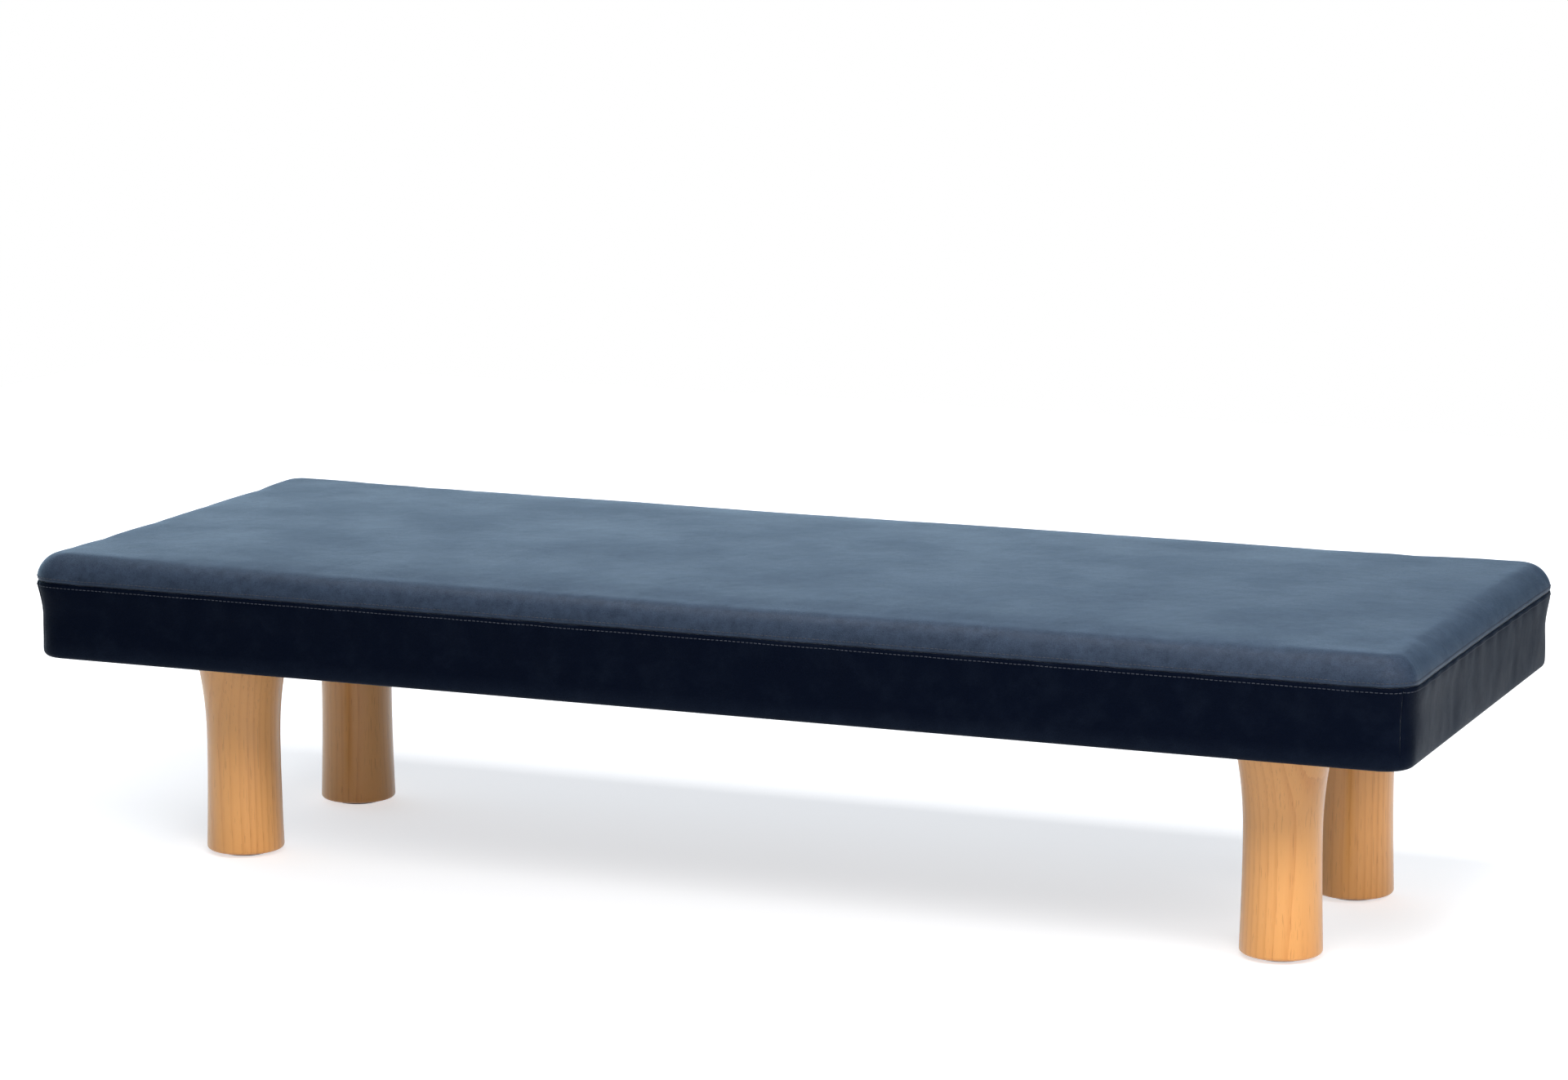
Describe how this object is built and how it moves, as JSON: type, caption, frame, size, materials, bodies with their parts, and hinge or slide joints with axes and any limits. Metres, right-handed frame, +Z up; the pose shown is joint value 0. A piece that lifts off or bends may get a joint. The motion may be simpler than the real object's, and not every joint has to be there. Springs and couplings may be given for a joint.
{
  "type": "backless divan",
  "caption": "Low backless divan: one long upholstered slab with rounded edges and a slightly crowned top, fixed on stout turned wooden legs set well in from its corners.",
  "frame": {"origin": "on the floor under the middle of the slab", "axes": "+X along the length to the end seen on the right, -Y towards the front, +Z up"},
  "size_m": [1.95, 0.755, 0.45],
  "materials": {
    "leather": "satin",
    "leg_wood": "satin",
    "frame_wood": "matte",
    "zinc_steel": "satin",
    "glide_nylon": "matte",
    "webbing": "matte",
    "hessian": "matte",
    "foam": "matte",
    "fibre_wadding": "matte",
    "dust_cloth": "matte"
  },
  "bodies": {
    "root": {"leg_front_left": "leg_wood", "glide_front_left": "glide_nylon", "hanger_bolt_front_left": "zinc_steel", "tee_nut_front_left": "zinc_steel", "leg_front_right": "leg_wood", "glide_front_right": "glide_nylon", "hanger_bolt_front_right": "zinc_steel", "tee_nut_front_right": "zinc_steel", "leg_rear_left": "leg_wood", "glide_rear_left": "glide_nylon", "hanger_bolt_rear_left": "zinc_steel", "tee_nut_rear_left": "zinc_steel", "leg_rear_right": "leg_wood", "glide_rear_right": "glide_nylon", "hanger_bolt_rear_right": "zinc_steel", "tee_nut_rear_right": "zinc_steel", "side_rail_front": "frame_wood", "side_rail_rear": "frame_wood", "end_rail_left": "frame_wood", "end_rail_right": "frame_wood", "centre_stretcher": "frame_wood", "leg_bearer_left": "frame_wood", "leg_bearer_right": "frame_wood", "corner_block_front_left": "frame_wood", "corner_block_front_right": "frame_wood", "corner_block_rear_left": "frame_wood", "corner_block_rear_right": "frame_wood", "webbing_lengthwise_1": "webbing", "webbing_lengthwise_2": "webbing", "webbing_lengthwise_3": "webbing", "webbing_lengthwise_4": "webbing", "webbing_lengthwise_5": "webbing", "webbing_crosswise_1": "webbing", "webbing_crosswise_2": "webbing", "webbing_crosswise_3": "webbing", "webbing_crosswise_4": "webbing", "webbing_crosswise_5": "webbing", "webbing_crosswise_6": "webbing", "webbing_crosswise_7": "webbing", "webbing_crosswise_8": "webbing", "webbing_crosswise_9": "webbing", "webbing_crosswise_10": "webbing", "webbing_crosswise_11": "webbing", "webbing_crosswise_12": "webbing", "webbing_crosswise_13": "webbing", "base_cloth": "hessian", "foam_core": "foam", "wadding": "fibre_wadding", "cover_top": "leather", "cover_rear": "leather", "cover_left": "leather", "cover_front": "leather", "cover_right": "leather", "dust_cloth": "dust_cloth"}
  },
  "joints": []
}
